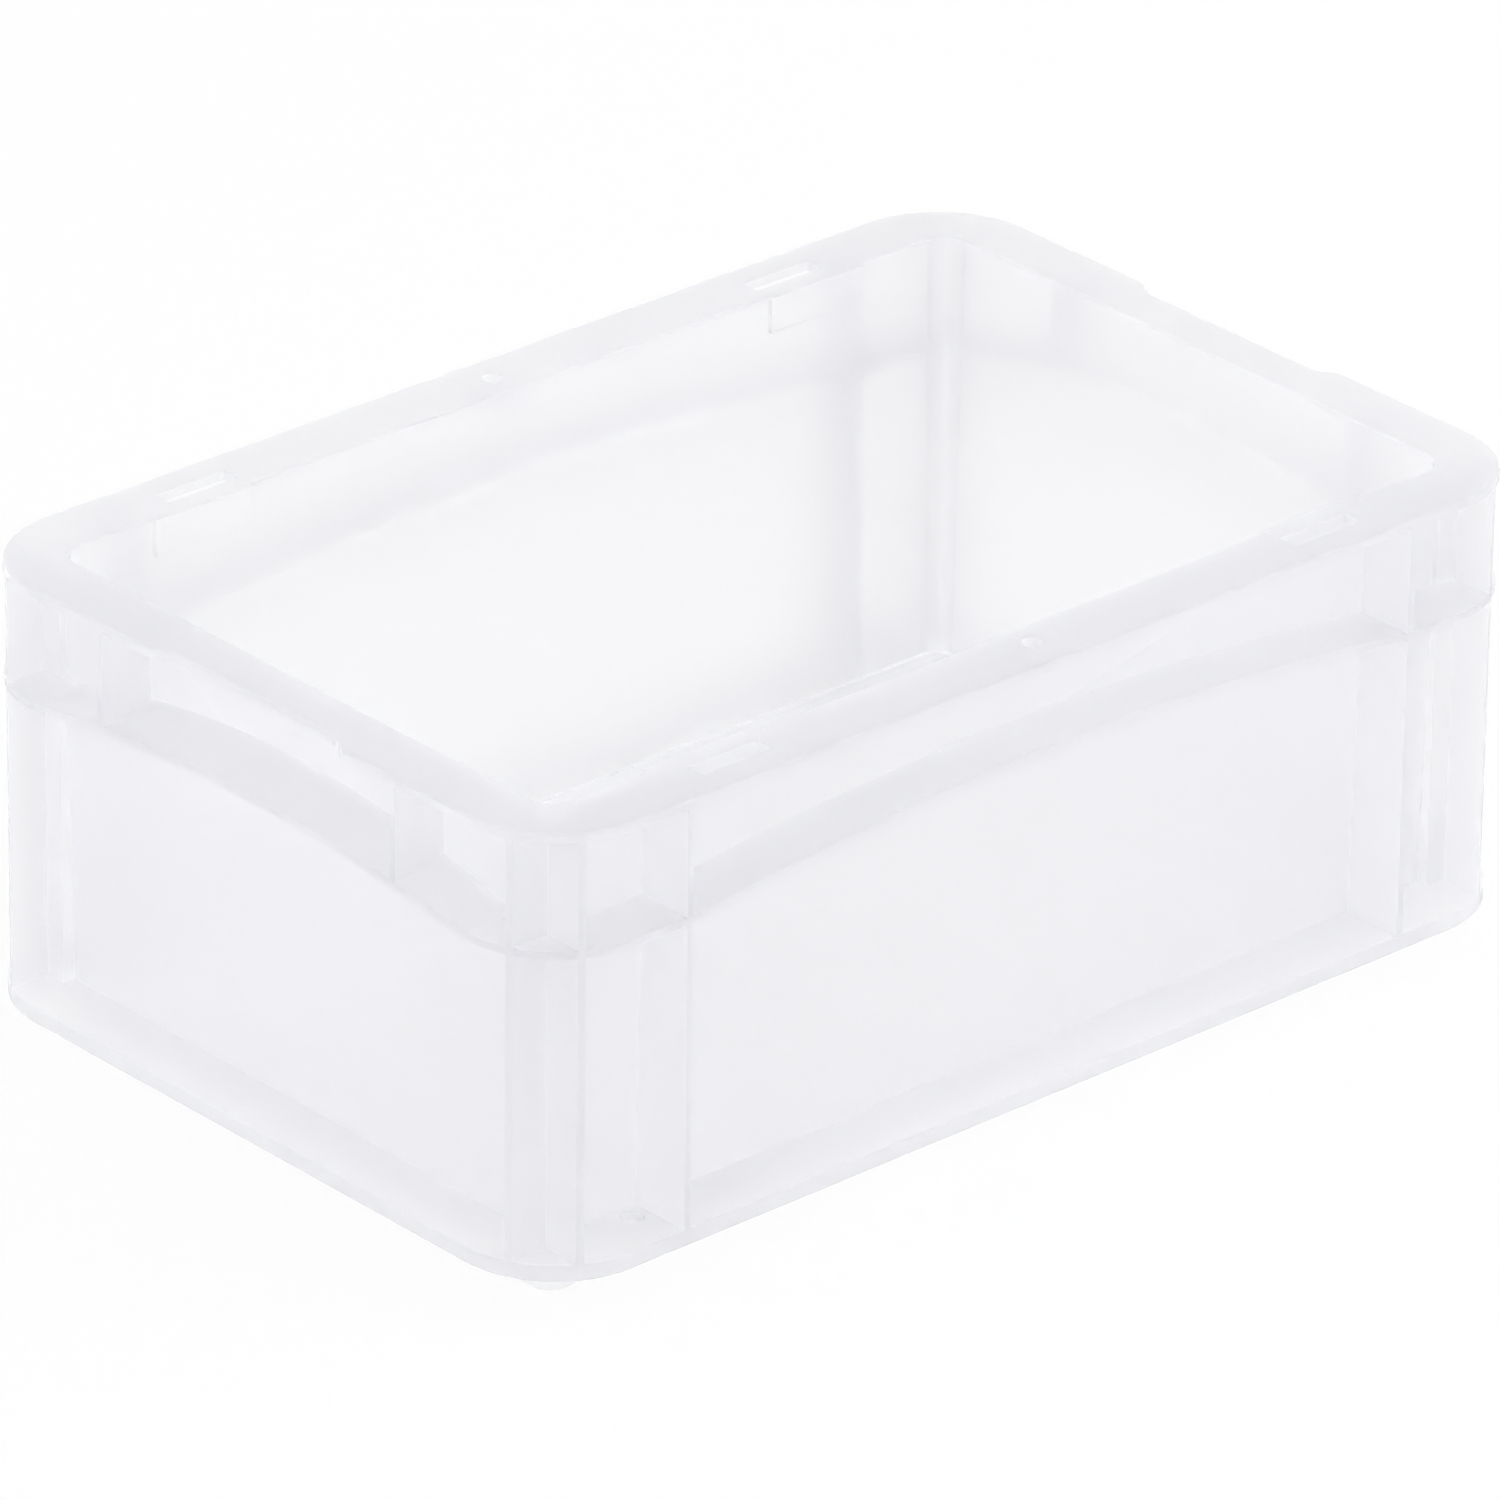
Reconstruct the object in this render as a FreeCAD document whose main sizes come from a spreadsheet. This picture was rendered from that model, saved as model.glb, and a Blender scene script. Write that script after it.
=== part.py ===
import FreeCAD, Part
import math
import os
import Sketcher

# Euro container, 300 x 200 x 120 mm, moulded in one piece from clear polypropylene.
# Frame: X along the long sides, Y along the short sides, Z up, origin under the middle of the foot.
# The moulding is a tub with drafted walls.
# Round it stand a flat rim, an arched ledge under it, a base flange and upright ribs between them.
# All of these end on one upright outline with rounded corners.

# Driving dimensions in millimetres and degrees, one spreadsheet cell each.
DIMENSIONS = {
    # Overall size and the plan outline that rim, ledge, ribs and base flange share.
    "Length": 300,
    "Width": 200,
    "Height": 120,
    "OutlineRadius": 25.5,
    # Rim: a flat plate round the opening.
    "RimThickness": 2.2,
    "RimWidthSide": 16.6,
    "RimWidthEnd": 15.6,
    "RimArris": 0.7,
    "OpeningRadius": 6.5,
    "OpeningArris": 0.5,
    # Tub walls and floor. The draft angle opens the tub upwards.
    "WallThickness": 2.0,
    "WallDraft": 1.0,
    "FloorThickness": 2.2,
    # Foot: the stepped-in bottom that nests into the opening of a container below.
    "FootHeight": 11,
    "FootClearance": 1.2,
    "FootDraft": 3,
    # Base flange: a plate round the tub above the foot, with a skirt that hangs from its edge.
    "SkirtHeight": 4.2,
    "SkirtThickness": 1.6,
    "SkirtChamfer": 0.5,
    "FlangePlate": 1.8,
    # Ledge: the plate under the rim. It is level at the corners and arched along each side.
    # Its level is how far its level part lies below the top of the rim.
    "LedgeLevel": 28.3,
    "LedgeThickness": 1.8,
    "SideArchHalfSpan": 107,
    "SideArchRise": 7.4,
    "EndArchHalfSpan": 74,
    "EndArchRiseOuter": 5.6,
    "EndArchRiseWall": 10.6,
    # Upright ribs.
    "CornerRibSetX": 136.65,
    "CornerRibSetY": 85.45,
    "CornerRibThickness": 1.5,
    "CornerPostWidth": 7,
    "SideRibPlace": 108.3,
    "SideRibThickness": 1.6,
    "GripRibPlace": 49.8,
    "GripRibThickness": 1.6,
    # Grip recess in the rim of each short side, with an S-bend at each end.
    "RecessDepth": 3.1,
    "RecessFlatLength": 52,
    "RecessBendLength": 8.5,
    # Lid slots in the rim of the long sides, each with a pad on the opening edge.
    "SlotPlace": 88.5,
    "SlotLength": 20,
    "SlotWidth": 5,
    "SlotInset": 10,
    "PadProjection": 1.3,
    "PadDrop": 9,
    "PadLength": 29,
    "PadPlace": 92.5,
    # Round hole with a boss, in the middle of each long side of the rim.
    "RimHoleDiameter": 5,
    "RimHoleInset": 9.3,
    "RimBossDiameter": 10.5,
    "RimBossDepth": 3,
    # Drain hole in the base flange, in each corner bay of the long sides.
    "DrainDiameter": 5.5,
    "DrainPlace": 113.5,
    "DrainInset": 12.2,
    # Rounding of the bottom edge inside the tub.
    "FloorFillet": 2,
}

SIGNS = (-1, 1)
QUADRANTS = ((1, 1), (-1, 1), (-1, -1), (1, -1))

# Levels and half sizes that follow from the cells.
OUTLINE_X = "Sizes.Length / 2"
OUTLINE_Y = "Sizes.Width / 2"
OPENING_X = "(Sizes.Length / 2 - Sizes.RimWidthEnd)"
OPENING_Y = "(Sizes.Width / 2 - Sizes.RimWidthSide)"
RIM_BOTTOM = "(Sizes.Height - Sizes.RimThickness)"
FLANGE_TOP = "(Sizes.FootHeight + Sizes.SkirtHeight)"
STEP_LEVEL = "(Sizes.FootHeight + Sizes.SkirtHeight - Sizes.FlangePlate)"
LEDGE_TOP = "(Sizes.Height - Sizes.LedgeLevel)"
LEDGE_BOTTOM = "(Sizes.Height - Sizes.LedgeLevel - Sizes.LedgeThickness)"
LEDGE_MIDDLE = "(Sizes.Height - Sizes.LedgeLevel - Sizes.LedgeThickness / 2)"
RIB_FOOT = "(Sizes.FootHeight + Sizes.SkirtChamfer)"


def new_document():
    """Make the document and write the driving dimensions into its spreadsheet."""
    doc = FreeCAD.newDocument("euro_container")
    sheet = doc.addObject("Spreadsheet::Sheet", "Sizes")
    for row, (alias, size) in enumerate(DIMENSIONS.items(), start=1):
        sheet.set(f"A{row}", alias)
        sheet.set(f"B{row}", str(size))
        sheet.setAlias(f"B{row}", alias)
    doc.recompute()
    return doc


class Moulding:
    """One body whose features are drawn, bound to the cells and checked one after another."""

    def __init__(self, doc, name):
        self.doc = doc
        self.body = doc.addObject("PartDesign::Body", name)
        self.body.Label = name
        self.volume = 0.0
        doc.recompute()

    def size(self, expression):
        """Return the present value of an expression on the cells."""
        result = self.body.evalExpression(expression)
        return float(getattr(result, "Value", result))

    def sketch(self, name, role="XY_Plane", level="0"):
        """Start a sketch on an origin plane, moved along the plane's normal."""
        sketch = self.body.newObject("Sketcher::SketchObject", name)
        plane = next(item for item in self.body.Origin.OriginFeatures if item.Role == role)
        sketch.AttachmentSupport = [(plane, "")]
        sketch.MapMode = "FlatFace"
        sketch.setExpression(".AttachmentOffset.Base.z", level)
        return sketch

    def bind(self, sketch, constraint, expression):
        """Add a constraint and bind its value to the cells."""
        index = sketch.addConstraint(constraint)
        name = f"size{index}"
        sketch.renameConstraint(index, name)
        sketch.setExpression(f"Constraints.{name}", expression)

    def place(self, sketch, geometry, end, point):
        """Bind one point of a sketch to the cells. A zero puts it on the sketch axis."""
        for kind, axis, expression in zip(("DistanceX", "DistanceY"), (-2, -1), point):
            value = self.size(expression)
            if abs(value) < 1e-9:
                sketch.addConstraint(Sketcher.Constraint("PointOnObject", geometry, end, axis))
            else:
                constraint = Sketcher.Constraint(kind, -1, 1, geometry, end, value)
                self.bind(sketch, constraint, expression)

    def rounded_rectangle(self, sketch, half_x, half_y, radius):
        """Draw a rectangle centred on the origin with four tangent corner arcs."""
        corner = self.size(radius)
        centre_x = self.size(half_x) - corner
        centre_y = self.size(half_y) - corner
        arcs = []
        for turn, (sign_x, sign_y) in enumerate(QUADRANTS):
            centre = FreeCAD.Vector(sign_x * centre_x, sign_y * centre_y, 0)
            circle = Part.Circle(centre, FreeCAD.Vector(0, 0, 1), corner)
            start = turn * math.pi / 2
            arcs.append(sketch.addGeometry(Part.ArcOfCircle(circle, start, start + math.pi / 2)))
        for turn, arc in enumerate(arcs):
            following = arcs[(turn + 1) % len(arcs)]
            ends = (sketch.getPoint(arc, 2), sketch.getPoint(following, 1))
            line = sketch.addGeometry(Part.LineSegment(*ends))
            sketch.addConstraint(Sketcher.Constraint("Tangent", arc, 2, line, 1))
            sketch.addConstraint(Sketcher.Constraint("Tangent", line, 2, following, 1))
        for (sign_x, sign_y), arc in zip(QUADRANTS, arcs):
            centre = (f"{sign_x} * ({half_x} - {radius})", f"{sign_y} * ({half_y} - {radius})")
            self.place(sketch, arc, 3, centre)
            self.bind(sketch, Sketcher.Constraint("Radius", arc, corner), radius)

    def outline(self, sketch, corners, crests=None):
        """Draw a closed outline through corners, with an arc over each side that has a crest."""
        crests = crests or {}
        points = [FreeCAD.Vector(self.size(x), self.size(y), 0) for x, y in corners]
        sides = []
        for index, start in enumerate(points):
            end = points[(index + 1) % len(points)]
            if index in crests:
                middle = FreeCAD.Vector(*[self.size(value) for value in crests[index]], 0)
                side = sketch.addGeometry(Part.Arc(start, middle, end))
            else:
                side = sketch.addGeometry(Part.LineSegment(start, end))
            first = 1 if sketch.getPoint(side, 1).distanceToPoint(start) < 1e-6 else 2
            sides.append((side, first, 3 - first))
        for index, (side, first, last) in enumerate(sides):
            following, following_first, _ = sides[(index + 1) % len(sides)]
            join = Sketcher.Constraint("Coincident", side, last, following, following_first)
            sketch.addConstraint(join)
            self.place(sketch, side, first, corners[index])
        for index, crest in crests.items():
            middle = FreeCAD.Vector(*[self.size(value) for value in crest], 0)
            point = sketch.addGeometry(Part.Point(middle), True)
            self.place(sketch, point, 1, crest)
            on_arc = Sketcher.Constraint("PointOnObject", point, 1, sides[index][0])
            sketch.addConstraint(on_arc)

    def rectangle(self, sketch, low, high):
        """Draw a rectangle between two opposite corners."""
        corners = [low, (high[0], low[1]), high, (low[0], high[1])]
        self.outline(sketch, corners)

    def circle(self, sketch, centre, diameter):
        """Draw a circle with its centre and diameter bound to the cells."""
        middle = FreeCAD.Vector(self.size(centre[0]), self.size(centre[1]), 0)
        across = self.size(diameter)
        ring = sketch.addGeometry(Part.Circle(middle, FreeCAD.Vector(0, 0, 1), across / 2))
        self.place(sketch, ring, 3, centre)
        self.bind(sketch, Sketcher.Constraint("Diameter", ring, across), diameter)

    def settle(self, feature, grows):
        """Recompute, and make sure that the feature is sound and changed the volume as meant."""
        self.doc.recompute()
        shape = feature.Shape
        if feature.State != ["Up-to-date"] and {"Invalid", "Error"} & set(feature.State):
            raise RuntimeError(f"{feature.Label} failed: {feature.State}")
        if shape.isNull() or not shape.isValid():
            raise RuntimeError(f"{feature.Label} has no valid shape")
        change = shape.Volume - self.volume
        if grows is not None and (change > 0) != grows:
            raise RuntimeError(f"{feature.Label} changed the volume by {change:.1f}")
        self.volume = shape.Volume
        return feature

    def extrude(self, kind, name, sketch, length, reverse=False, taper=None, both_ways=False):
        """Pad or pocket a sketch by a length that is bound to the cells."""
        feature = self.body.newObject(f"PartDesign::{kind}", name)
        feature.Profile = sketch
        feature.setExpression("Length", length)
        feature.Reversed = reverse
        if both_ways:
            feature.SideType = "Symmetric"
        if taper:
            feature.setExpression("TaperAngle", taper)
        return self.settle(feature, kind == "Pad")

    def loft(self, name, sections):
        """Join two sketches by a straight loft."""
        feature = self.body.newObject("PartDesign::AdditiveLoft", name)
        feature.Profile = sections[0]
        feature.Sections = sections[1:]
        feature.Ruled = True
        return self.settle(feature, True)

    def mirror(self, name, originals, role):
        """Repeat features on the far side of an origin plane."""
        feature = self.body.newObject("PartDesign::Mirrored", name)
        plane = next(item for item in self.body.Origin.OriginFeatures if item.Role == role)
        feature.Originals = originals
        feature.MirrorPlane = (plane, [""])
        self.body.Tip = feature
        return self.settle(feature, None)

    def arris(self, kind, name, edges, size):
        """Round or chamfer the named edges of the tip."""
        base = self.body.Tip
        feature = self.body.newObject(f"PartDesign::{kind}", name)
        feature.Base = (base, edges)
        feature.setExpression("Radius" if kind == "Fillet" else "Size", size)
        return self.settle(feature, None)

    def level_edges(self, level, half_x=OUTLINE_X, half_y=OUTLINE_Y):
        """Name the edges of the tip that lie level at a height, inside a centred rectangle."""
        height = self.size(level)
        reach_x = self.size(half_x) + 1e-3
        reach_y = self.size(half_y) + 1e-3
        names = []
        for number, edge in enumerate(self.body.Tip.Shape.Edges, start=1):
            box = edge.BoundBox
            is_level = abs(box.ZMin - height) < 1e-3 and abs(box.ZMax - height) < 1e-3
            is_inside = max(-box.XMin, box.XMax) < reach_x and max(-box.YMin, box.YMax) < reach_y
            if is_level and is_inside:
                names.append(f"Edge{number}")
        return names


def base_flange(part):
    """Plate round the tub with a skirt round its edge, open underneath, its foot chamfered."""
    plan = part.sketch("FlangeOutline", level="Sizes.FootHeight")
    part.rounded_rectangle(plan, OUTLINE_X, OUTLINE_Y, "Sizes.OutlineRadius")
    part.extrude("Pad", "BaseFlange", plan, "Sizes.SkirtHeight")
    edge = part.level_edges("Sizes.FootHeight")
    part.arris("Chamfer", "SkirtChamfer", edge, "Sizes.SkirtChamfer")
    hollow = part.sketch("FlangeHollow", level="Sizes.FootHeight")
    part.rounded_rectangle(hollow, f"({OUTLINE_X} - Sizes.SkirtThickness)",
                           f"({OUTLINE_Y} - Sizes.SkirtThickness)",
                           "(Sizes.OutlineRadius - Sizes.SkirtThickness)")
    part.extrude("Pocket", "FlangeUnderside", hollow, "Sizes.SkirtHeight - Sizes.FlangePlate",
                 reverse=True)


def grip_recess(part):
    """Shallow bay in the rim's edge on each short side, with an S-bend at both ends."""
    for name, side in (("Near", -1), ("Far", 1)):
        plan = part.sketch(f"Recess{name}Outline", level="Sizes.Height")
        edge = f"{side} * {OUTLINE_X}"
        floor = f"{side} * ({OUTLINE_X} - Sizes.RecessDepth)"
        beyond = f"{side} * ({OUTLINE_X} + Sizes.RecessDepth)"
        flat = "Sizes.RecessFlatLength / 2"
        reach = f"({flat} + Sizes.RecessBendLength)"
        half_way = f"({flat} + Sizes.RecessBendLength / 2)"
        middle = f"{side} * ({OUTLINE_X} - Sizes.RecessDepth / 2)"
        # Each bend is two equal arcs that meet half way. The middle point of an arc stands off
        # the straight by the bulge, a quarter of the chord along.
        chord = "sqrt(Sizes.RecessBendLength^2 + Sizes.RecessDepth^2)"
        radius = f"({chord}^2 / (4 * Sizes.RecessDepth))"
        bulge = f"({radius} * (1 - Sizes.RecessBendLength / {chord}))"
        along = f"({chord} / 4)"
        near_edge = f"{side} * ({OUTLINE_X} - {bulge})"
        near_floor = f"{side} * ({OUTLINE_X} - Sizes.RecessDepth + {bulge})"
        corners = [
            (edge, reach),
            (middle, half_way),
            (floor, flat),
            (floor, f"-{flat}"),
            (middle, f"-{half_way}"),
            (edge, f"-{reach}"),
            (beyond, f"-{reach}"),
            (beyond, reach),
        ]
        crests = {
            0: (near_edge, f"{reach} - {along}"),
            1: (near_floor, f"{flat} + {along}"),
            3: (near_floor, f"-({flat} + {along})"),
            4: (near_edge, f"-({reach} - {along})"),
        }
        part.outline(plan, corners, crests)
        part.extrude("Pocket", f"Recess{name}", plan, "Sizes.RimThickness")


def rim(part):
    """Flat plate on the outline, at the top, with the grip recesses and a rounded outer arris."""
    plan = part.sketch("RimOutline", level=RIM_BOTTOM)
    part.rounded_rectangle(plan, OUTLINE_X, OUTLINE_Y, "Sizes.OutlineRadius")
    part.extrude("Pad", "Rim", plan, "Sizes.RimThickness")
    grip_recess(part)
    part.arris("Fillet", "RimArris", part.level_edges("Sizes.Height"), "Sizes.RimArris")


def tub(part):
    """Drafted outer walls up to the rim, and the narrower foot under them."""
    wall = part.sketch("TubTop", level="Sizes.Height")
    part.rounded_rectangle(wall, f"({OPENING_X} + Sizes.WallThickness)",
                           f"({OPENING_Y} + Sizes.WallThickness)",
                           "(Sizes.OpeningRadius + Sizes.WallThickness)")
    part.extrude("Pad", "Tub", wall, "Sizes.Height - Sizes.FootHeight", reverse=True,
                 taper="-Sizes.WallDraft")
    foot = part.sketch("FootTop", level="Sizes.FootHeight")
    part.rounded_rectangle(foot, f"({OPENING_X} - Sizes.FootClearance)",
                           f"({OPENING_Y} - Sizes.FootClearance)",
                           "(Sizes.OpeningRadius - Sizes.FootClearance)")
    part.extrude("Pad", "Foot", foot, "Sizes.FootHeight", reverse=True, taper="-Sizes.FootDraft")


def arched_band(part, sketch, half_length, half_span, rise):
    """Outline of the ledge's edge: level at both ends, arched in the middle."""
    corners = [
        (f"-({half_length})", LEDGE_BOTTOM),
        (f"-{half_span}", LEDGE_BOTTOM),
        (half_span, LEDGE_BOTTOM),
        (half_length, LEDGE_BOTTOM),
        (half_length, LEDGE_TOP),
        (half_span, LEDGE_TOP),
        (f"-{half_span}", LEDGE_TOP),
        (f"-({half_length})", LEDGE_TOP),
    ]
    crests = {
        1: ("0", f"{LEDGE_BOTTOM} + {rise}"),
        5: ("0", f"{LEDGE_TOP} + {rise}"),
    }
    part.outline(sketch, corners, crests)


def ledge(part):
    """Arched plate under the rim: one band along each side, running into the corners."""
    side = part.sketch("LedgeSideBand", role="XZ_Plane", level=OUTLINE_Y)
    arched_band(part, side, OUTLINE_X, "Sizes.SideArchHalfSpan", "Sizes.SideArchRise")
    first = part.extrude("Pad", "LedgeSide", side, "Sizes.RimWidthSide", reverse=True)
    part.mirror("LedgeSideFar", [first], "XZ_Plane")
    outer = part.sketch("LedgeEndOuter", role="YZ_Plane", level=f"-({OUTLINE_X})")
    arched_band(part, outer, OUTLINE_Y, "Sizes.EndArchHalfSpan", "Sizes.EndArchRiseOuter")
    inner = part.sketch("LedgeEndWall", role="YZ_Plane", level=f"-{OPENING_X}")
    arched_band(part, inner, OUTLINE_Y, "Sizes.EndArchHalfSpan", "Sizes.EndArchRiseWall")
    first = part.loft("LedgeEnd", [outer, inner])
    part.mirror("LedgeEndFar", [first], "YZ_Plane")


def upright_ribs(part):
    """Ribs from the skirt to the rim, at the corners and on the long sides."""
    half = "Sizes.CornerRibThickness / 2"
    across_y = part.sketch("CornerRibsAcrossY", level=RIB_FOOT)
    across_x = part.sketch("RibsAcrossX", level=RIB_FOOT)
    posts = part.sketch("CornerPosts", level=RIB_FOOT)
    for sign_x, sign_y in QUADRANTS:
        set_x = f"{sign_x} * Sizes.CornerRibSetX"
        set_y = f"{sign_y} * Sizes.CornerRibSetY"
        edge_x = f"{sign_x} * {OUTLINE_X}"
        edge_y = f"{sign_y} * {OUTLINE_Y}"
        part.rectangle(across_y, (set_x, f"{set_y} - {half}"), (edge_x, f"{set_y} + {half}"))
        part.rectangle(across_x, (f"{set_x} - {half}", set_y), (f"{set_x} + {half}", edge_y))
        outer = (f"{sign_x} * (Sizes.CornerRibSetX + {half})",
                 f"{sign_y} * (Sizes.CornerRibSetY + {half})")
        inner = (f"{sign_x} * (Sizes.CornerRibSetX + {half} - Sizes.CornerPostWidth)",
                 f"{sign_y} * (Sizes.CornerRibSetY + {half} - Sizes.CornerPostWidth)")
        part.rectangle(posts, inner, outer)
        place = f"{sign_x} * Sizes.SideRibPlace"
        thick = "Sizes.SideRibThickness / 2"
        part.rectangle(across_x, (f"{place} - {thick}", f"{sign_y} * {OPENING_Y}"),
                       (f"{place} + {thick}", edge_y))
    height = f"{RIM_BOTTOM} - {RIB_FOOT}"
    part.extrude("Pad", "CornerRibs", across_y, height)
    part.extrude("Pad", "SideRibs", across_x, height)
    part.extrude("Pad", "Posts", posts, height)


def grip_ribs(part):
    """Ribs between ledge and rim, either side of each hand grip."""
    arch = "(1 - (Sizes.GripRibPlace / Sizes.EndArchHalfSpan)^2)"
    outer_z = f"({LEDGE_MIDDLE} + Sizes.EndArchRiseOuter * {arch})"
    wall_z = f"({LEDGE_MIDDLE} + Sizes.EndArchRiseWall * {arch})"
    for name, side in (("GripRibNear", 1), ("GripRibFar", -1)):
        level = f"{side} * Sizes.GripRibPlace"
        profile = part.sketch(name + "Profile", role="XZ_Plane", level=level)
        part.outline(profile, [
            (f"-{OUTLINE_X}", outer_z),
            (f"-{OPENING_X}", wall_z),
            (f"-{OPENING_X}", RIM_BOTTOM),
            (f"-{OUTLINE_X}", RIM_BOTTOM),
        ])
        first = part.extrude("Pad", name, profile, "Sizes.GripRibThickness", both_ways=True)
        part.mirror(name + "Opposite", [first], "YZ_Plane")


def trim_to_outline(part):
    """Cut away everything that stands past the rounded outline."""
    plan = part.sketch("TrimOutline", level="0")
    part.rounded_rectangle(plan, OUTLINE_X, OUTLINE_Y, "Sizes.OutlineRadius")
    beyond_x = f"({OUTLINE_X} + Sizes.OutlineRadius)"
    beyond_y = f"({OUTLINE_Y} + Sizes.OutlineRadius)"
    part.rectangle(plan, (f"-{beyond_x}", f"-{beyond_y}"), (beyond_x, beyond_y))
    part.extrude("Pocket", "Trim", plan, "Sizes.Height", reverse=True)


def cavity(part):
    """Inside of the tub: a rounded top edge, drafted walls, a step at the foot and the floor."""
    opening = part.sketch("Opening", level="Sizes.Height")
    part.rounded_rectangle(opening, OPENING_X, OPENING_Y, "Sizes.OpeningRadius")
    part.extrude("Pocket", "Inside", opening, f"Sizes.Height - {STEP_LEVEL}",
                 taper="-Sizes.WallDraft")
    edge = part.level_edges("Sizes.Height", OPENING_X, OPENING_Y)
    part.arris("Fillet", "OpeningArris", edge, "Sizes.OpeningArris")
    inset = "(Sizes.FootClearance + Sizes.WallThickness)"
    well = part.sketch("FootWell", level=STEP_LEVEL)
    part.rounded_rectangle(well, f"({OPENING_X} - {inset})", f"({OPENING_Y} - {inset})",
                           f"(Sizes.OpeningRadius - {inset})")
    part.extrude("Pocket", "InsideFoot", well, f"{STEP_LEVEL} - Sizes.FloorThickness",
                 taper="-Sizes.FootDraft")
    edge = part.level_edges("Sizes.FloorThickness")
    part.arris("Fillet", "FloorFillet", edge, "Sizes.FloorFillet")


def lid_slots(part):
    """Pads on the opening edge and slots through the rim, two on each long side."""
    pads = part.sketch("PadOutline", level="Sizes.Height")
    slots = part.sketch("SlotOutline", level="Sizes.Height")
    for sign_x, sign_y in QUADRANTS:
        low = f"{sign_x} * (Sizes.PadPlace - Sizes.PadLength / 2)"
        high = f"{sign_x} * (Sizes.PadPlace + Sizes.PadLength / 2)"
        part.rectangle(pads, (low, f"{sign_y} * ({OPENING_Y} - Sizes.PadProjection)"),
                       (high, f"{sign_y} * ({OPENING_Y} + Sizes.WallThickness / 2)"))
        low = f"{sign_x} * (Sizes.SlotPlace - Sizes.SlotLength / 2)"
        high = f"{sign_x} * (Sizes.SlotPlace + Sizes.SlotLength / 2)"
        centre = f"({OUTLINE_Y} - Sizes.SlotInset)"
        part.rectangle(slots, (low, f"{sign_y} * ({centre} - Sizes.SlotWidth / 2)"),
                       (high, f"{sign_y} * ({centre} + Sizes.SlotWidth / 2)"))
    part.extrude("Pad", "Pads", pads, "Sizes.PadDrop", reverse=True)
    part.extrude("Pocket", "Slots", slots, "Sizes.RimThickness")


def holes(part):
    """Bossed holes in the rim and drain holes in the base flange."""
    bosses = part.sketch("BossOutline", level=RIM_BOTTOM)
    bores = part.sketch("RimHoleOutline", level="Sizes.Height")
    for sign in SIGNS:
        centre = ("0", f"{sign} * ({OUTLINE_Y} - Sizes.RimHoleInset)")
        part.circle(bosses, centre, "Sizes.RimBossDiameter")
        part.circle(bores, centre, "Sizes.RimHoleDiameter")
    part.extrude("Pad", "Bosses", bosses, "Sizes.RimBossDepth", reverse=True)
    part.extrude("Pocket", "RimHoles", bores, "Sizes.RimThickness + Sizes.RimBossDepth")
    drains = part.sketch("DrainOutline", level=FLANGE_TOP)
    for sign_x, sign_y in QUADRANTS:
        centre = (f"{sign_x} * Sizes.DrainPlace", f"{sign_y} * ({OUTLINE_Y} - Sizes.DrainInset)")
        part.circle(drains, centre, "Sizes.DrainDiameter")
    part.extrude("Pocket", "Drains", drains, "Sizes.FlangePlate")


def export(doc, part):
    """Check every object of the document and write the part."""
    for item in doc.Objects:
        if {"Invalid", "Error"} & set(item.State):
            raise RuntimeError(f"{item.Label}: {item.State}")
    shape = part.body.Shape
    if shape.isNull() or not shape.isValid() or len(shape.Solids) != 1:
        raise RuntimeError("the container is not one valid solid")
    os.makedirs("parts", exist_ok=True)
    shape.exportStep(f"parts/{part.body.Label}.step")
    box = shape.optimalBoundingBox(True, False)
    print(f"box X {box.XMin:.2f} {box.XMax:.2f} Y {box.YMin:.2f} {box.YMax:.2f} "
          f"Z {box.ZMin:.2f} {box.ZMax:.2f}")
    print(f"volume {shape.Volume / 1000:.1f} cm3, faces {len(shape.Faces)}")


def main():
    doc = new_document()
    part = Moulding(doc, "container")
    base_flange(part)
    rim(part)
    tub(part)
    ledge(part)
    upright_ribs(part)
    grip_ribs(part)
    trim_to_outline(part)
    cavity(part)
    lid_slots(part)
    holes(part)
    export(doc, part)


main()
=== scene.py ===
"""Euro container in clear polypropylene: its finish, a pale stage and the camera."""

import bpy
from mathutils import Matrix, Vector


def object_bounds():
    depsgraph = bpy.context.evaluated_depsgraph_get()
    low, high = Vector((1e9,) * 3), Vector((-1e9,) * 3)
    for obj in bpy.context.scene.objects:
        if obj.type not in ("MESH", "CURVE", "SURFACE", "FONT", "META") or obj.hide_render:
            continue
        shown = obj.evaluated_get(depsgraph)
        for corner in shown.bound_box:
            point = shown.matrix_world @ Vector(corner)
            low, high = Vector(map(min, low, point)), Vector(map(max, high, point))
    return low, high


bl_info = {
    "name": "Euro Container",
    "version": (1, 0, 0),
    "blender": (4, 5, 0),
    "location": "3D View > Sidebar > Euro Container",
    "description": "Dresses the moulded container and sets up its stage and camera",
    "category": "Object",
}

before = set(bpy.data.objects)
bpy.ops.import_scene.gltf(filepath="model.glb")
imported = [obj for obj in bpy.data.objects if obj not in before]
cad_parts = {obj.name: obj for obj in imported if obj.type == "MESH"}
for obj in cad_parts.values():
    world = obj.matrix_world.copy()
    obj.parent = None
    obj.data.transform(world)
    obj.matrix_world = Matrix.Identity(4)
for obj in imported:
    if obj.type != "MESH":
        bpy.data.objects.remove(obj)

import math

import bpy
from bpy.props import FloatProperty, FloatVectorProperty, PointerProperty
from mathutils import Quaternion, Vector

MM = 0.001
CAD_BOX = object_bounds()
# Waves per metre of the moulding's cloudy haze, its fine grain and the waves of its skin.
CLOUD_SCALE = 9.0
GRAIN_SCALE = 260.0
WAVE_SCALE = 45.0
# The grain's share of the cloud's change, and the height of the skin's waves.
GRAIN_SHARE = 0.3
WAVE_HEIGHT = 0.3 * MM
COAT_ROUGHNESS = 0.08
WHITE = (1.0, 1.0, 1.0, 1.0)
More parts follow.
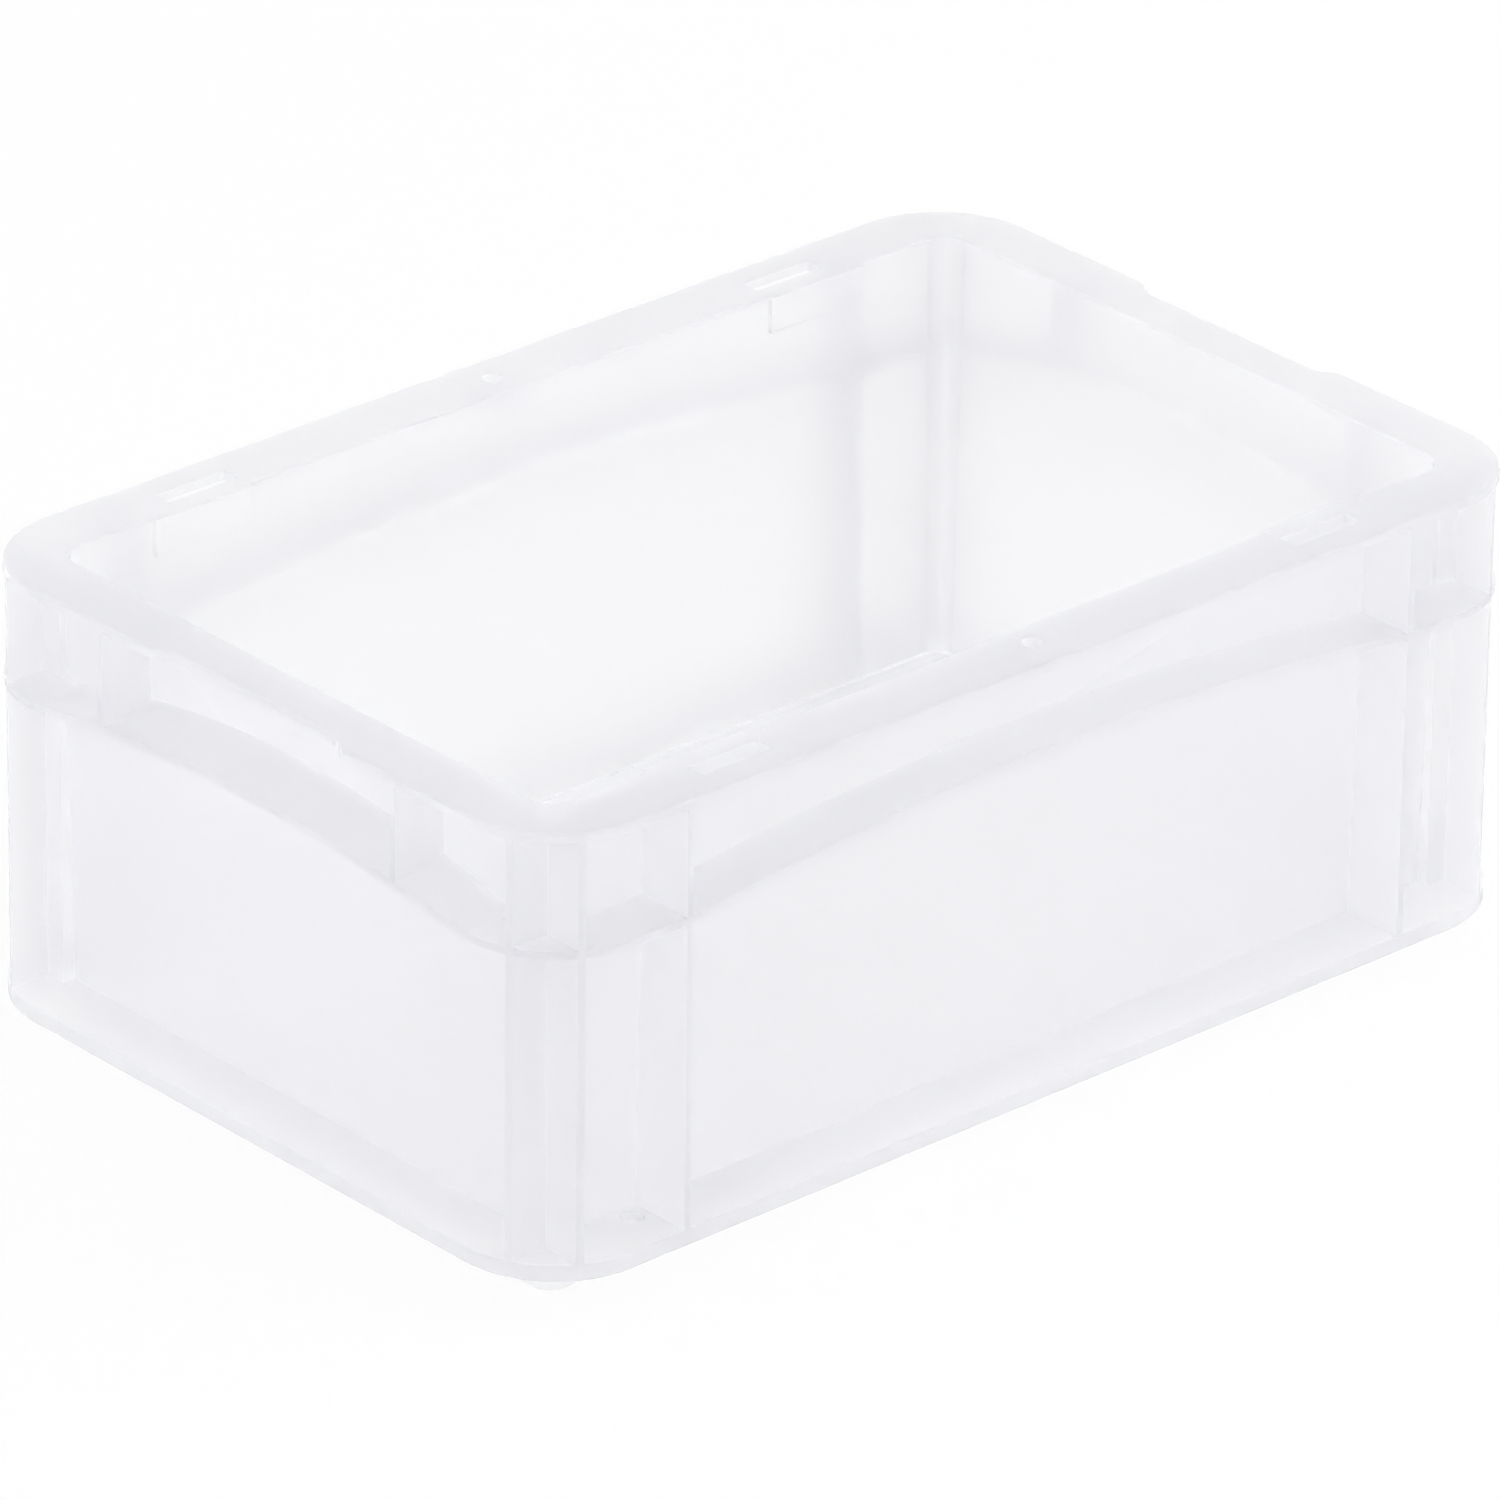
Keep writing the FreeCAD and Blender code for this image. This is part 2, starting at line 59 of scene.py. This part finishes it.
# How far the floor is plain white to the camera. The rest keeps the container's shadow.
FLOOR_WHITE_SHARE = 0.8
FLOOR_HALF_SIZE = 3.0
LAMP_DISTANCE = 1.6
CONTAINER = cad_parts["container"]


class Signal:
    """A value in a shader. Its arithmetic adds the Math nodes that work it out."""

    def __init__(self, web, socket):
        self.web = web
        self.socket = socket

    def calculate(self, operation, *values):
        return self.web.node("ShaderNodeMath", {"operation": operation}, *values)

    def __add__(self, other):
        return self.calculate("ADD", self, other)

    def __sub__(self, other):
        return self.calculate("SUBTRACT", self, other)

    def __rsub__(self, other):
        return self.calculate("SUBTRACT", other, self)

    def __mul__(self, other):
        return self.calculate("MULTIPLY", self, other)

    __radd__ = __add__
    __rmul__ = __mul__

    def clamped(self):
        """Keep the value between 0 and 1."""
        return self.calculate("MINIMUM", self.calculate("MAXIMUM", self, 0), 1)


class Web:
    """The node tree of one material or world."""

    def __init__(self, owner):
        owner.use_nodes = True
        self.tree = owner.node_tree
        self.tree.nodes.clear()

    def node(self, kind, settings, *values, output=0, **named):
        """Make a node: its settings first, then its sockets in order or by name."""
        node = self.tree.nodes.new(kind)
        for name, setting in settings.items():
            setattr(node, name, setting)
        for key, value in list(enumerate(values)) + list(named.items()):
            name = key.replace("_", " ") if isinstance(key, str) else key
            socket = node.inputs[name]
            if isinstance(value, Signal):
                self.tree.links.new(value.socket, socket)
            else:
                socket.default_value = value
        return Signal(self, node.outputs[output]) if len(node.outputs) else None

    def noise(self, place, scale, detail):
        """Smooth noise at a place, with scale in waves per metre."""
        return self.node("ShaderNodeTexNoise", {}, Vector=place, Scale=scale, Detail=detail,
                         Roughness=0.5)


class PlasticLook(bpy.types.PropertyGroup):
    """The finish of the clear polypropylene."""

    tint: FloatVectorProperty(
        name="Tint", description="Colour that the light keeps in the plastic", subtype="COLOR",
        size=3, min=0.0, max=1.0, default=(0.967, 0.967, 0.979))
    haze: FloatProperty(
        name="Haze", description="Share of the light that the plastic scatters",
        subtype="FACTOR", min=0.0, max=1.0, default=0.36)
    haze_change: FloatProperty(
        name="Haze change", description="How far the haze differs from place to place",
        min=0.0, max=1.0, default=0.2)
    chalk: FloatProperty(
        name="Chalk", description="Share of the scattered light that comes back",
        subtype="FACTOR", min=0.0, max=1.0, default=0.02)
    roughness: FloatProperty(
        name="Roughness", description="Blur of what shows through the plastic",
        subtype="FACTOR", min=0.0, max=1.0, default=0.63)
    index: FloatProperty(
        name="Index", description="Refractive index of the plastic", min=1.0, default=1.23)
    gloss: FloatProperty(
        name="Gloss", description="Strength of the skin's shine", subtype="FACTOR",
        min=0.0, max=1.0, default=0.5)
    waves: FloatProperty(
        name="Waves", description="Strength of the moulded skin's waves", subtype="FACTOR",
        min=0.0, max=1.0, default=0.08)
    arris: FloatProperty(
        name="Arris", description="Rounding of the moulded arrises", unit="LENGTH",
        min=0.0, default=0.3 * MM)


class StageLook(bpy.types.PropertyGroup):
    """Floor, sky and lamp."""

    floor_colour: FloatVectorProperty(
        name="Floor", description="Colour of the floor", subtype="COLOR", size=3,
        min=0.0, max=1.0, default=(0.9, 0.9, 0.9))
    floor_white: FloatProperty(
        name="Floor white", description="Brightness of the floor to the camera",
        min=0.0, default=1.02)
    floor_light: FloatProperty(
        name="Floor light", description="Brightness of the floor through the plastic",
        min=0.0, default=1.09)
    floor_through: FloatProperty(
        name="Floor through", description="How far the floor is white through the plastic",
        subtype="FACTOR", min=0.0, max=1.0, default=0.72)
    sky_strength: FloatProperty(
        name="Sky strength", description="Light from all round", min=0.0, default=0.88)
    sky_through: FloatProperty(
        name="Sky through", description="Brightness of the sky through the plastic",
        min=0.0, default=0.995)
    sky_slope: FloatVectorProperty(
        name="Sky slope", description="Change of the sky's light along X, Y and Z", size=3,
        default=(-0.2, 0.0, 0.06))
    lamp_power: FloatProperty(
        name="Lamp power", description="Power of the large soft lamp", unit="POWER",
        min=0.0, default=5.3)
    lamp_size: FloatProperty(
        name="Lamp size", description="Width of the lamp", unit="LENGTH", min=0.0, default=1.7)
    lamp_turn: FloatProperty(
        name="Lamp turn", description="Where the lamp stands round the upright axis",
        subtype="ANGLE", default=math.radians(139.0))
    lamp_height: FloatProperty(
        name="Lamp height", description="Height of the lamp above the horizon",
        subtype="ANGLE", default=math.radians(36.0))


class CameraView(bpy.types.PropertyGroup):
    """Where the camera stands and what it takes in."""

    azimuth: FloatProperty(
        name="Azimuth", description="Turn about the upright axis, from looking along +Y",
        subtype="ANGLE", default=math.radians(42.151))
    elevation: FloatProperty(
        name="Elevation", description="Height above the horizon", subtype="ANGLE",
        default=math.radians(26.35))
    roll: FloatProperty(
        name="Roll", description="Turn about the line of sight", subtype="ANGLE",
        default=math.radians(0.76))
    distance: FloatProperty(
        name="Distance", description="From the middle of the container", unit="LENGTH",
        default=3.0995)
    lens: FloatProperty(
        name="Focal length", description="On a sensor 36 mm wide", default=328.8)
    shift: FloatVectorProperty(
        name="Shift", description="Shift of the picture, in picture widths", size=2,
        default=(-0.00276, -0.00161))


def clear_plastic(look):
    """Clear polypropylene: partly clear, partly milky, with the faint flow of the moulding."""
    material = bpy.data.materials.new("clear_polypropylene")
    web = Web(material)
    place = web.node("ShaderNodeTexCoord", {}, output=3)
    tint = (*look.tint, 1.0)
    cloud = web.noise(place, CLOUD_SCALE, detail=1.0)
    grain = web.noise(place, GRAIN_SCALE, detail=0.0)
    grain_change = look.haze_change * GRAIN_SHARE
    change = (cloud - 0.5) * look.haze_change + (grain - 0.5) * grain_change
    skin = web.node("ShaderNodeBump", {}, Strength=look.waves, Distance=WAVE_HEIGHT,
                    Height=web.noise(place, WAVE_SCALE, detail=1.0))
    clear = web.node(
        "ShaderNodeBsdfPrincipled", {}, Base_Color=tint, Roughness=look.roughness,
        IOR=look.index, Normal=skin, Transmission_Weight=1.0, Coat_Weight=look.gloss,
        Coat_Roughness=COAT_ROUGHNESS)
    onward = web.node("ShaderNodeBsdfTranslucent", {}, Color=tint)
    back = web.node("ShaderNodeBsdfDiffuse", {}, Color=tint)
    milky = web.node("ShaderNodeMixShader", {}, look.chalk, onward, back)
    surface = web.node("ShaderNodeMixShader", {}, (change + look.haze).clamped(), clear, milky)
    web.node("ShaderNodeOutputMaterial", {}, Surface=surface)
    return material


def seen_by(web):
    """1 where the camera looks straight at a thing; 1 where a ray comes by gloss or plastic."""
    rays = web.tree.nodes.new("ShaderNodeLightPath")
    straight, glossy, through = [Signal(web, rays.outputs[name]) for name in (
        "Is Camera Ray", "Is Glossy Ray", "Is Transmission Ray")]
    return straight, (glossy + through).clamped()


def stage_floor(look):
    """Pale floor that shows white to the camera and keeps a part of the shadow."""
    material = bpy.data.materials.new("pale_floor")
    web = Web(material)
    straight, through = seen_by(web)
    lit = web.node("ShaderNodeBsdfDiffuse", {}, Color=(*look.floor_colour, 1.0))
    strength = straight * look.floor_white + through * look.floor_light
    white = web.node("ShaderNodeEmission", {}, Color=WHITE, Strength=strength)
    share = straight * FLOOR_WHITE_SHARE + through * look.floor_through
    surface = web.node("ShaderNodeMixShader", {}, share, lit, white)
    web.node("ShaderNodeOutputMaterial", {}, Surface=surface)
    return material


class EUROBOX_OT_plastic(bpy.types.Operator):
    """Give the moulding its clear plastic"""

    bl_idname = "eurobox.plastic"
    bl_label = "Clear plastic"

    def execute(self, context):
        look = context.scene.eurobox_plastic
        material = clear_plastic(look)
        for slot in CONTAINER.material_slots:
            slot.material = material
        weld = CONTAINER.modifiers.new("weld", "WELD")
        weld.merge_threshold = 0.001 * MM
        arris = CONTAINER.modifiers.new("arris", "BEVEL")
        arris.width = look.arris
        arris.segments = 2
        arris.limit_method = "ANGLE"
        arris.angle_limit = math.radians(40.0)
        return {"FINISHED"}


class EUROBOX_OT_stage(bpy.types.Operator):
    """Make the floor, the sky and the lamp"""

    bl_idname = "eurobox.stage"
    bl_label = "Stage"

    def execute(self, context):
        look = context.scene.eurobox_stage
        mesh = bpy.data.meshes.new("floor")
        half = FLOOR_HALF_SIZE
        corners = [(-half, -half, 0), (half, -half, 0), (half, half, 0), (-half, half, 0)]
        mesh.from_pydata(corners, [], [(0, 1, 2, 3)])
        floor = bpy.data.objects.new("floor", mesh)
        context.collection.objects.link(floor)
        mesh.materials.append(stage_floor(look))
        self.sky(context, look)
        self.lamp(context, look)
        context.scene.view_settings.view_transform = "Standard"
        return {"FINISHED"}

    def sky(self, context, look):
        """White where it is seen, and at the sky's strength where it lights."""
        world = bpy.data.worlds.new("studio")
        context.scene.world = world
        web = Web(world)
        straight, through = seen_by(web)
        place = web.node("ShaderNodeTexCoord", {})
        slope = web.node("ShaderNodeVectorMath", {"operation": "DOT_PRODUCT"}, place,
                         look.sky_slope, output=1)
        plain = look.sky_strength + through * (look.sky_through - look.sky_strength)
        strength = plain * (slope + 1.0)
        strength = strength + straight * (1.0 - strength)
        light = web.node("ShaderNodeBackground", {}, Color=WHITE, Strength=strength)
        web.node("ShaderNodeOutputWorld", {}, Surface=light)

    def lamp(self, context, look):
        """One large soft lamp on one side."""
        data = bpy.data.lights.new("soft_lamp", "AREA")
        data.shape = "DISK"
        data.size = look.lamp_size
        data.energy = look.lamp_power
        level = math.cos(look.lamp_height)
        away = Vector((math.sin(look.lamp_turn) * level, math.cos(look.lamp_turn) * level,
                       math.sin(look.lamp_height)))
        lamp = bpy.data.objects.new("soft_lamp", data)
        lamp.location = away * LAMP_DISTANCE
        lamp.rotation_mode = "QUATERNION"
        lamp.rotation_quaternion = (-away).to_track_quat("-Z", "Y")
        context.collection.objects.link(lamp)


class EUROBOX_OT_camera(bpy.types.Operator):
    """Stand the camera where the photograph was taken"""

    bl_idname = "eurobox.camera"
    bl_label = "Camera"

    def execute(self, context):
        view = context.scene.eurobox_camera
        data = bpy.data.cameras.new("camera")
        data.sensor_width = 36.0
        data.lens = view.lens
        data.shift_x, data.shift_y = view.shift
        data.clip_end = 20.0
        camera = bpy.data.objects.new("camera", data)
        level = math.cos(view.elevation)
        sight = Vector((math.sin(view.azimuth) * level, math.cos(view.azimuth) * level,
                        -math.sin(view.elevation)))
        low, high = CAD_BOX
        camera.location = (low + high) / 2 - sight * view.distance
        camera.rotation_mode = "QUATERNION"
        roll = Quaternion((0.0, 0.0, 1.0), view.roll)
        camera.rotation_quaternion = sight.to_track_quat("-Z", "Y") @ roll
        context.collection.objects.link(camera)
        context.scene.camera = camera
        return {"FINISHED"}


class EUROBOX_PT_panel(bpy.types.Panel):
    """Lists the steps and their settings"""

    bl_idname = "EUROBOX_PT_panel"
    bl_label = "Euro Container"
    bl_space_type = "VIEW_3D"
    bl_region_type = "UI"
    bl_category = "Euro Container"

    def draw(self, context):
        for operator, group, names in STEPS:
            box = self.layout.box()
            box.operator(operator)
            for name in names:
                box.prop(getattr(context.scene, group), name)


STEPS = (
    ("eurobox.plastic", "eurobox_plastic",
     ("tint", "haze", "haze_change", "chalk", "roughness", "index", "gloss", "waves", "arris")),
    ("eurobox.stage", "eurobox_stage",
     ("floor_colour", "floor_white", "floor_light", "floor_through", "sky_strength", "sky_through",
      "sky_slope", "lamp_power", "lamp_size", "lamp_turn", "lamp_height")),
    ("eurobox.camera", "eurobox_camera",
     ("azimuth", "elevation", "roll", "distance", "lens", "shift")),
)
GROUPS = {
    "eurobox_plastic": PlasticLook,
    "eurobox_stage": StageLook,
    "eurobox_camera": CameraView,
}
CLASSES = (PlasticLook, StageLook, CameraView, EUROBOX_OT_plastic, EUROBOX_OT_stage,
           EUROBOX_OT_camera, EUROBOX_PT_panel)


def register():
    for item in CLASSES:
        bpy.utils.register_class(item)
    for name, group in GROUPS.items():
        setattr(bpy.types.Scene, name, PointerProperty(type=group))


def unregister():
    for name in GROUPS:
        delattr(bpy.types.Scene, name)
    for item in reversed(CLASSES):
        bpy.utils.unregister_class(item)


def main():
    register()
    bpy.ops.eurobox.plastic()
    bpy.ops.eurobox.stage()
    bpy.ops.eurobox.camera()


if __name__ == "__main__":
    main()
